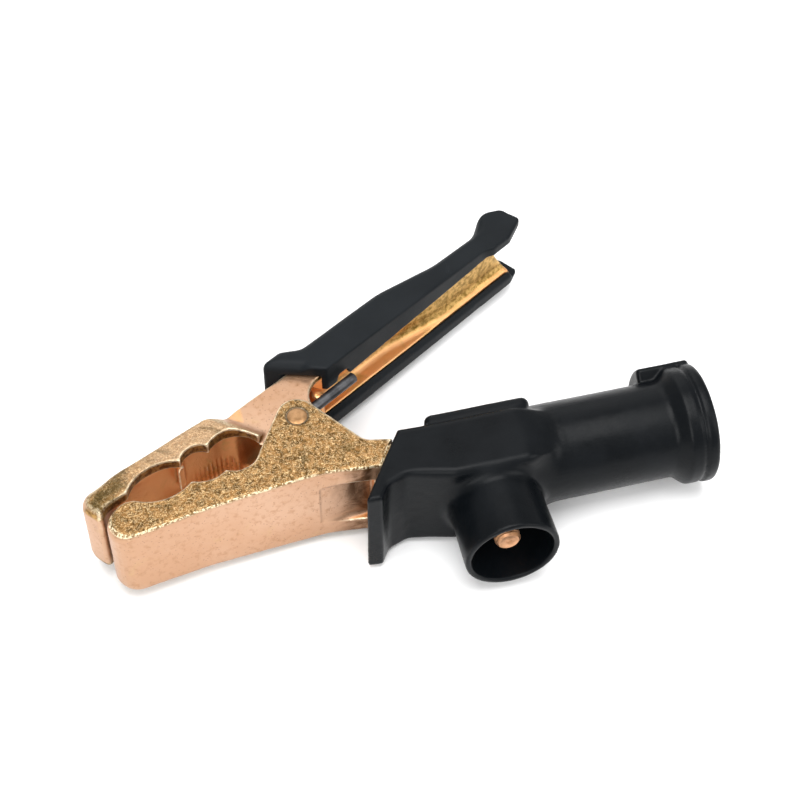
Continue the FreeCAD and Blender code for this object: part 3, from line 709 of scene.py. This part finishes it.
def upper_lever():
    """Jaw, cheeks and channel handle cast in one."""
    g = Grid((-86.0, -28.5, -20.6), (106.5, 84.5, 20.6), 0.62)
    x, y, z = g.x, g.y, g.z
    cheeks = slab(flat([
        (-24.0, -0.6), (-16.0, -5.6), (-8.4, -8.4, 8.0), (8.4, -8.4, 8.0),
        (8.4, 7.6, 0, -2.9), (13.0, 21.2), plan_point(1.0, NEAR), plan_point(BEYOND, NEAR),
        plan_point(BEYOND, THIN), (*plan_point(67.0, THIN), 40.0),
        (*plan_point(40.0, BACK), 40.0), (*plan_point(-16.0, BACK), 60.0),
        (-22.0, 12.6, 6.0), (-30.0, 7.0)], x, y), HALF_CHEEK, z, 0.8)
    (east, north), (far_east, far_north) = STEP
    length = math.hypot(far_east - east, far_north - north)
    past = ((x - east) * (far_north - north) - (y - north) * (far_east - east)) / length
    full = jaw_half(x)
    half = full - (full - HALF_CHEEK + 0.3) * ease(past, -RAMP_RUN - 1.0, 0.6)
    jaw_plan = flat([
        (-77.6, -26.2, 2.0), (-74.2, -21.4, 5.0), (-66.6, -17.8, 0, -4.6),
        (-45.4, -9.2, 0, -3.4), (-34.6, -5.0, 0, -5.4), (-15.6, -5.0), *STEP,
        (-30.0, 10.6, 20.0), (-87.2, -15.0, 6.0)], x, y)
    outer = ease(y + 8.0 - 0.455 * (x + 55.4), -2.0, 3.0)
    solid = join(meet(jaw_plan, np.abs(z) - half, jaw_rounding(x, outer)), cheeks, 0.8)
    trough = slab(flat([
        (-70.0, -60.0), (-10.0, -60.0), (-12.0, 2.0), (-28.0, 6.6, 8.0), (-70.0, -10.9, 4.0)],
        x, y), HALF_TROUGH, z, 6.0)
    bars = 0.30 * np.cos(2 * math.pi * x / RIB_PITCH) * ease(x, -42.0, -39.0) * ease(-z, 3.0, 6.0)
    off_cheeks = -x - FAR * ease(-x, 13.0, 15.0)
    solid = cut(solid, np.maximum(trough + bars, off_cheeks), 0.7)
    rib = meet(np.abs(x + 45.4) - 1.6, np.abs(z - 1.0) - 6.0, 1.4)
    rib = np.maximum(rib, jaw_plan + 2.2)
    solid = join(solid, rib, 0.8)
    channel = slab(flat([
        (-24.0, -30.0), plan_point(BEYOND + 5, -30.0), plan_point(BEYOND + 5, THIN - WALL),
        (*plan_point(67.0, THIN - WALL), 40.0), (*plan_point(40.0, BACK - WALL), 40.0),
        (*plan_point(-14.0, BACK - WALL), 50.0), (-20.0, 6.4, 8.0), (-30.0, 2.0)], x, y),
        HALF_CHANNEL, z, 4.0)
    solid = cut(solid, channel, 0.6)
    along = ((x - HANDLE_ORIGIN[0]) * math.cos(HANDLE_ANGLE)
             + (y - HANDLE_ORIGIN[1]) * math.sin(HANDLE_ANGLE))
    solid = cut(solid, (END + SLANT * z - along) / math.hypot(1.0, SLANT), 0.5)
    post_x, post_y = plan_point(*POST)
    post = np.hypot(x - post_x, y - post_y) - 2.7
    solid = join(solid, meet(post, np.abs(z) - HALF_POST, 0.5), 0.6)
    low, high = POST[0] - 1.2, POST[0] + 1.2
    web = flat([plan_point(low, POST[1]), plan_point(high, POST[1]),
                plan_point(high, BACK - 1.0), plan_point(low, BACK - 1.0)], x, y)
    solid = join(solid, meet(web, np.abs(z) - HALF_POST, 0.3), 0.8)
    solid = cut(solid, np.hypot(x, y) - RIVET - 0.1, 0.2)
    return skin(g, solid + casting_skin(x, y, z, 2))


# ---------------------------------------------------------------- handle cover
KNOB = 12.0              # the thumb knob is above this
FLANGE = -13.95          # the lower wall of the grip is below this
LIP_SLOPE = 1.5          # the slot's lower lip rises by this for each mm into the grip
SLOT_DEPTH = 2.6


def handle_cover():
    """Grip of C section with a front guard and an end knob, in the handle frame."""
    g = Grid((-17.4, -3.2, -20.5), (112.6, 23.0, 20.5), 0.6)
    s, t, z = g.x, g.y, g.z
    side = flat([
        (0.0, 0.0), (88.0, 0.0, 10.0), (92.0, -1.8, 4.0), (101.0, -1.8, 6.0), (111.4, 2.4, 1.5),
        (110.6, 12.0, 4.0), (102.0, 16.6, 8.0), (93.0, 11.4, 6.0), (90.0, 10.5, 4.0),
        (68.0, 10.7, 40.0), (42.0, 15.6, 40.0), (1.0, 15.8, 6.0), (-6.0, 20.6, 5.0),
        (-14.6, 20.6, 3.0), (-16.0, 18.0, 1.0)], s, t)
    half = 19.0 - 2.4 * s / 112.0
    rounding = 0.9 + 3.6 * ease(t, 4.0, 9.0) * (1.0 - 0.7 * ease(s, 96.0, 104.0))
    solid = meet(side, np.abs(z) - half, rounding)
    gap = 0.3
    hollow = slab(flat([
        (-30.0, NEAR - gap), (BEYOND, NEAR - gap), (BEYOND, THIN + gap),
        (67.0, THIN + gap, 40.0), (40.0, BACK + gap, 40.0), (-30.0, BACK + gap)], s, t),
        HALF_CHEEK + 0.25, z, 0.6)
    solid = cut(solid, hollow, 0.4)
    lip = LIP_SLOPE * np.clip(t, 0.0, SLOT_DEPTH) * (z < 0)
    slot = flat([(-40.0, -12.9), (130.0, -12.5), (130.0, 14.0), (12.0, 5.6, 1.0),
                 (11.0, 9.4, 1.0), (6.5, 9.4, 1.0), (5.5, 6.0, 0.8), (-40.0, 7.6)], s, z - lip)
    solid = cut(solid, np.maximum(slot, t - SLOT_DEPTH), 0.5)
    past_end = END - 0.8 + SLANT * z - s
    opened = np.maximum(np.maximum(past_end, z - KNOB), FLANGE - z + 0.0 * t)
    solid = cut(solid, opened, 0.8)
    below_knob = np.maximum(np.maximum(t - 0.1, z - KNOB), 84.0 - s)
    solid = cut(solid, below_knob, 0.4)
    points, faces = skin(g, solid + 0.10 + 0.06 * lumps(s, t, z, 12.0, 5))
    return handle_to_plan(points), faces


# ---------------------------------------------------------------- cable boot
STOP_HALF_ANGLE = math.radians(42.0)
STOP_MEAN_RADIUS = 20.0


def cable_boot():
    """Boot with box, pad, guard, port, tube, collar and finger stop."""
    g = Grid((14.5, -68.0, -24.4), (153.0, 1.0, 24.4), 0.66)
    x, y, z = g.x, g.y, g.z
    box = slab(flat([
        (15.2, -44.8, 0.8), (21.4, -45.4, 1.2), (25.2, -39.4, 5.0), (33.0, -36.8, 8.0),
        (50.0, -41.2, 10.0), (98.0, -41.6), (98.0, -15.5), (34.2, -15.5, 1.0)], x, y),
        HALF_BOOT, z, 1.6 + 1.6 * ease(x, 24.0, 44.0))
    off_axis = np.hypot(y - TUBE_Y, z)
    tube = flat([
        (78.0, -5.0), (78.0, TUBE_RADIUS), (136.0, TUBE_RADIUS, 4.0), (140.4, 22.5, 2.0),
        (144.8, 22.6, 1.2), (146.0, 21.9, 0.6), (147.2, 22.9, 0.8), (151.4, 22.9, 2.0),
        (151.4, -5.0)], x, off_axis)
    from_port = np.hypot(x - BOLT_X, z)
    port = meet(from_port - 17.6 - 0.4 * ease(-y, 40.0, 66.0), np.abs(y + 48.25) - 18.25, 0.9)
    to_round = ease(x, 77.0, 93.0)
    box = np.maximum((1.0 - to_round) * box + to_round * (off_axis - TUBE_RADIUS), x - 94.0)
    solid = join(box, tube, 2.5 * (1.0 - ease(x, 80.0, 90.0)))
    solid = join(solid, port, 4.0)
    pad = slab(flat([(45.0, -18.0), (84.0, -18.0), (87.0, -10.5, 3.0), (45.0, -10.5, 3.0)], x, y),
               HALF_PAD, z, 2.8)
    solid = join(solid, pad, 0.6)
    wave = 0.25 * lumps(x, 0.0 * y, z, 3.0, 6)
    edge = flat([(44.7, -20.2), (82.0, -20.2), (82.0, 20.2), (44.7, 20.2)], x, z)
    flash = np.maximum(np.abs(y + 15.3 + wave) - 0.4, edge - wave)
    solid = join(solid, flash, 0.2)
    around = np.abs(np.arctan2(z, y - TUBE_Y))
    wedge = (around - STOP_HALF_ANGLE) * STOP_MEAN_RADIUS
    stop = meet(flat([(130.0, 17.0), (151.0, 17.0), (151.0, 24.3, 1.5), (130.0, 24.3, 1.6)],
                     x, off_axis), wedge + 0.0 * x, 1.4)
    solid = join(solid, stop, 0.7)
    solid = solid + 0.14 + 0.10 * lumps(x, y, z, 14.0, 8) + 0.03 * lumps(x, y, z, 2.5, 9)
    mouth = slab(flat([(0.0, -30.3), (50.0, -30.3), (50.0, -20.2), (0.0, -20.2)], x, y),
                 HALF_BOOT_HOLLOW, z, 1.0)
    solid = cut(solid, mouth, 0.6)
    hollow = slab(flat([(44.0, -35.8, 2.0), (82.3, -35.8, 2.0), (82.3, -18.0), (44.0, -18.0, 2.0)],
                       x, y), HALF_BOOT_HOLLOW, z, 1.5)
    solid = cut(solid, hollow, 0.3)
    head = slab(flat([(53.0, -20.0), (77.0, -20.0), (77.0, -13.9, 2.0), (53.0, -13.9, 2.0)], x, y),
                HALF_HEAD_POCKET, z, 1.5)
    solid = cut(solid, head, 0.3)
    bore = flat([(80.0, -5.0), (80.0, 9.4), (94.0, TUBE_BORE, 6.0), (150.2, TUBE_BORE),
                 (155.0, 20.7), (155.0, -5.0)], x, off_axis)
    solid = cut(solid, bore, 0.5)
    solid = cut(solid, np.maximum(from_port - PORT_BORE, y + 31.0), 0.7)
    return skin(g, solid)


# ---------------------------------------------------------------- spring
WIRE, COIL, REACH = 2.1, 5.7, 7.3
LOWER_LEG_ANGLE = math.radians(-8.5)


def torsion_spring():
    """Wire from the lower leg's tip, up the left-hand coil, to the handle leg's tip."""
    bottom = LOWER_LEG_ANGLE - math.pi / 2
    top = HANDLE_ANGLE + math.pi / 2
    sweep_angle = 6 * math.pi + (bottom + 2 * math.pi - top)
    path = []
    foot = COIL * np.array([math.cos(bottom), math.sin(bottom)])
    way = np.array([math.cos(LOWER_LEG_ANGLE), math.sin(LOWER_LEG_ANGLE)])
    path += [(*(foot + way * d), -REACH) for d in np.linspace(22.0, 1.0, 12)]
    turns = 220
    for k in range(turns + 1):
        share = k / turns
        angle = bottom - sweep_angle * share
        path.append((COIL * math.cos(angle), COIL * math.sin(angle), REACH * (2 * share - 1)))
    foot = COIL * np.array([math.cos(top), math.sin(top)])
    way = np.array([math.cos(HANDLE_ANGLE), math.sin(HANDLE_ANGLE)])
    path += [(*(foot + way * d), REACH) for d in np.linspace(1.0, 34.6, 18)]
    path = np.array(path)
    ring, parts = [], 20
    tangents = np.gradient(path, axis=0)
    tangents /= np.linalg.norm(tangents, axis=1)[:, None]
    for point, tangent in zip(path, tangents):
        side = np.cross(tangent, (0, 0, 1.0))
        side /= np.linalg.norm(side)
        rise = np.cross(side, tangent)
        ring.append([point + WIRE * (math.cos(a) * side + math.sin(a) * rise)
                     for a in np.linspace(0, 2 * math.pi, parts, endpoint=False)])
    ends = []
    for index, shrink in ((0, -0.25), (-1, 0.25)):
        centre = path[index] + tangents[index] * shrink
        ends.append([centre + (p - path[index]) * 0.86 for p in ring[index]])
    rings = np.array([ends[0]] + ring + [ends[1]])
    count = len(rings)
    faces = [(k * parts + i, k * parts + (i + 1) % parts,
              (k + 1) * parts + (i + 1) % parts, (k + 1) * parts + i)
             for k in range(count - 1) for i in range(parts)]
    faces.append(list(range(parts))[::-1])
    faces.append([(count - 1) * parts + i for i in range(parts)])
    return rings.reshape(-1, 3), faces


# ---------------------------------------------------------------- turned hardware
HEX_FLATS = 17.0
TAIL_THICK = TAIL_TOP - TAIL_BOTTOM      # heights along the bolt, from its head's seat
LOCK_LOW = TAIL_THICK + 2.0
NUT_LOW = 13.7
NUT_HIGH = 22.1


def hex_ring(angle, flats):
    """Radius of a hexagon at this angle."""
    return flats / 2 / math.cos((angle + math.pi / 6) % (math.pi / 3) - math.pi / 6)


def hexed(low, high, flats, chamfer, bore, parts=120):
    """Hexagon between two heights with chamfered corners, bored or solid."""
    widest = flats / 2 * 1.02
    heights = [(low, widest - 0.3), (low + chamfer, None), (high - chamfer, None),
               (high, widest - 0.3)]
    points, count = [], len(heights) + (2 if bore else 0)
    for k in range(parts):
        angle = 2 * math.pi * k / parts
        place = [math.cos(angle), math.sin(angle)]
        if bore:
            points.append((bore * place[0], bore * place[1], low + 0.4))
        for height, limit in heights:
            radius = hex_ring(angle, flats)
            if limit:
                radius = min(radius, limit)
            points.append((radius * place[0], radius * place[1], height))
        if bore:
            points.append((bore * place[0], bore * place[1], high - 0.4))
    faces = []
    for k in range(parts):
        following = (k + 1) % parts
        for i in range(count if bore else count - 1):
            j = (i + 1) % count
            faces.append((k * count + i, following * count + i, following * count + j, k * count + j))
    points = np.array(points)
    return (points, faces) if bore else capped(points, faces, parts, count)


def terminal_bolt():
    """Hexagon head and a threaded shank, one mesh of two closed shells."""
    head, head_faces = hexed(-6.4, 0.0, HEX_FLATS, 0.9, 0.0)
    pitch, depth, radius, length, parts, per_pitch = 1.5, 0.75, 4.9, 40.0, 72, 8
    rows = int(length / pitch * per_pitch)
    points = []
    for k in range(parts):
        angle = 2 * math.pi * k / parts
        for i in range(rows + 1):
            height = -0.5 + (length + 0.5) * i / rows
            phase = (height / pitch - k / parts) % 1.0
            groove = depth * max(0.0, 1.0 - abs(phase - 0.5) / 0.42)
            groove *= min(1.0, max(0.0, (height - 9.0) / 2.0))
            limit = radius - max(0.0, height - (length - 1.0))
            r = min(radius - groove, limit)
            points.append((r * math.cos(angle), r * math.sin(angle), height))
        for r, height in ((3.1, length), (2.9, length - 0.12), (1.2, length - 0.12),
                          (0.8, length - 0.45)):
            points.append((r * math.cos(angle), r * math.sin(angle), height))
    count = rows + 1 + 4
    faces = []
    for k in range(parts):
        following = (k + 1) % parts
        for i in range(count - 1):
            faces.append((k * count + i, following * count + i,
                          following * count + i + 1, k * count + i + 1))
    shank, shank_faces = capped(np.array(points), faces, parts, count)
    shift = len(head)
    faces = list(head_faces) + [tuple(i + shift for i in face) for face in shank_faces]
    return on_bolt(np.concatenate([head, shank])), faces


def ring(low, high, inner, outer, bevel):
    """Flat ring along the bolt with softened corners."""
    profile = [(inner, low + bevel), (inner + bevel, low), (outer - bevel, low),
               (outer, low + bevel), (outer, high - bevel), (outer - bevel, high),
               (inner + bevel, high), (inner, high - bevel), (inner, low + bevel)]
    points, faces = turned(profile, 96)
    return on_bolt(points), faces


def split_ring(low, high, inner, outer, slit):
    """Lock washer: a ring that is open by a slit."""
    first, parts = math.asin(slit / 2 / outer), 90
    angles = np.linspace(first, 2 * math.pi - first, parts + 1)
    section = [(inner, low + 0.2), (inner + 0.2, low), (outer - 0.2, low), (outer, low + 0.2),
               (outer, high - 0.2), (outer - 0.2, high), (inner + 0.2, high), (inner, high - 0.2)]
    count = len(section)
    points = [(r * math.cos(a), r * math.sin(a), h) for a in angles for r, h in section]
    faces = [(k * count + i, (k + 1) * count + i, (k + 1) * count + (i + 1) % count,
              k * count + (i + 1) % count) for k in range(parts) for i in range(count)]
    faces.append(list(range(count))[::-1])
    faces.append([parts * count + i for i in range(count)])
    return on_bolt(points), faces


def pivot_rivet():
    """Rivet with peened, slightly domed ends and a dark gap round them."""
    flare, half = 0.55, HALF_CASTING
    edge = RIVET + flare
    profile = [(0.05, half - 0.02), (edge * 0.5, half - 0.06), (edge * 0.85, half - 0.16),
               (edge, half - 0.42), (RIVET + 0.3, half - 0.75), (RIVET, half - 1.2)]
    profile = profile + [(r, -h) for r, h in reversed(profile)]
    points, faces = turned(profile, 72)
    points, faces = capped(points, faces, 72, len(profile))
    return points, [tuple(reversed(face)) for face in faces]


# ---------------------------------------------------------------- assemble
add_piece("lower_casting", *lower_lever(), "lower", LOWER_BRASS, ["lower_lever"])
add_piece("upper_casting", *upper_lever(), "upper", UPPER_BRASS, ["upper_lever"])
add_piece("grip_cover", *handle_cover(), "upper", GRIP, ["handle_cover"])
add_piece("boot", *cable_boot(), "lower", BOOT, ["cable_boot"])
add_piece("rivet", *pivot_rivet(), "lower", RIVET_BRASS, ["pivot_rivet"], 40)
add_piece("bolt", *terminal_bolt(), "lower", BOLT_BRASS, ["terminal_bolt"], 35)
add_piece("plain_washer", *ring(TAIL_THICK, LOCK_LOW, BOLT_HOLE, 10.0, 0.25), "lower", ZINC,
          ["flat_washer"], 40)
add_piece("spring_washer", *split_ring(LOCK_LOW, NUT_LOW, 5.1, 9.0, 1.6), "lower", ZINC,
          ["lock_washer"], 40)
nut_points, nut_faces = hexed(NUT_LOW, NUT_HIGH, HEX_FLATS, 0.9, 4.95)
add_piece("nut", on_bolt(nut_points), nut_faces, "lower", ZINC, ["terminal_nut"], 35)
spring = add_piece("spring", *torsion_spring(), None, STEEL, (), 50)
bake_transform(spring)
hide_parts("torsion_spring")


# ---------------------------------------------------------------- stage, light, camera
CAMERA_AZIMUTH = math.radians(-14.2)
CAMERA_ELEVATION = math.radians(51.5)
CAMERA_PLACE = np.array([-69.31, -429.25, 573.74])
CAMERA_LENS = 85.5
SENSOR_WIDTH = 36.0


def add_floor():
    """Pale floor, far larger than the clamp, 8 m wide."""
    mesh = bpy.data.meshes.new("floor")
    reach = 4.0
    mesh.from_pydata([(-reach, -reach, 0), (reach, -reach, 0), (reach, reach, 0), (-reach, reach, 0)],
                     [], [(0, 1, 2, 3)])
    floor = bpy.data.objects.new("floor", mesh)
    bpy.context.scene.collection.objects.link(floor)
    n = Nodes("floor_paint")
    tone = n.mix(n.span(n.noise(6, 2), 0.3, 0.7), (0.93, 0.93, 0.93), (0.95, 0.95, 0.95))
    mesh.materials.append(n.finish(tone, n.span(n.noise(90, 2), 0.3, 0.7, 0.8, 0.9)))


def add_light(name, place, size, power):
    """Square soft light that looks at the clamp."""
    lamp = bpy.data.lights.new(name, "AREA")
    lamp.size = size
    lamp.energy = power
    light = bpy.data.objects.new(name, lamp)
    light.location = place
    light.rotation_euler = (-Vector(place)).to_track_quat("-Z", "Y").to_euler()
    bpy.context.scene.collection.objects.link(light)


def add_camera():
    """Camera at the photograph's viewing angle."""
    azimuth, elevation = CAMERA_AZIMUTH, CAMERA_ELEVATION
    right = Vector((math.cos(azimuth), math.sin(azimuth), 0.0))
    back = Vector((math.sin(azimuth) * math.cos(elevation),
                   -math.cos(azimuth) * math.cos(elevation), math.sin(elevation)))
    up = back.cross(right)
    camera = bpy.data.cameras.new("camera")
    camera.lens, camera.sensor_width = CAMERA_LENS, SENSOR_WIDTH
    camera.clip_start, camera.clip_end = 0.02, 20.0
    holder = bpy.data.objects.new("camera", camera)
    turn = Matrix((right, up, back)).transposed().to_4x4()
    place = (CAMERA_PLACE + PIVOT) * MM
    holder.matrix_world = Matrix.Translation(place) @ turn
    bpy.context.scene.collection.objects.link(holder)
    bpy.context.scene.camera = holder


add_floor()
for light_name, light_place, light_size, watts in (
        ("key", (-0.45, -0.95, 0.80), 0.8, 8.0), ("side", (0.90, -0.60, 0.70), 0.7, 4.5),
        ("rear", (0.10, 1.00, 0.80), 0.8, 2.5), ("top", (0.0, -0.10, 1.60), 1.2, 26.0)):
    add_light(light_name, light_place, light_size, watts)
world = bpy.data.worlds.new("studio")
world.use_nodes = True
background = world.node_tree.nodes["Background"]
background.inputs["Color"].default_value = (1.0, 1.0, 1.0, 1.0)
background.inputs["Strength"].default_value = 0.64
bpy.context.scene.world = world
bpy.context.scene.view_settings.view_transform = "Standard"
add_camera()
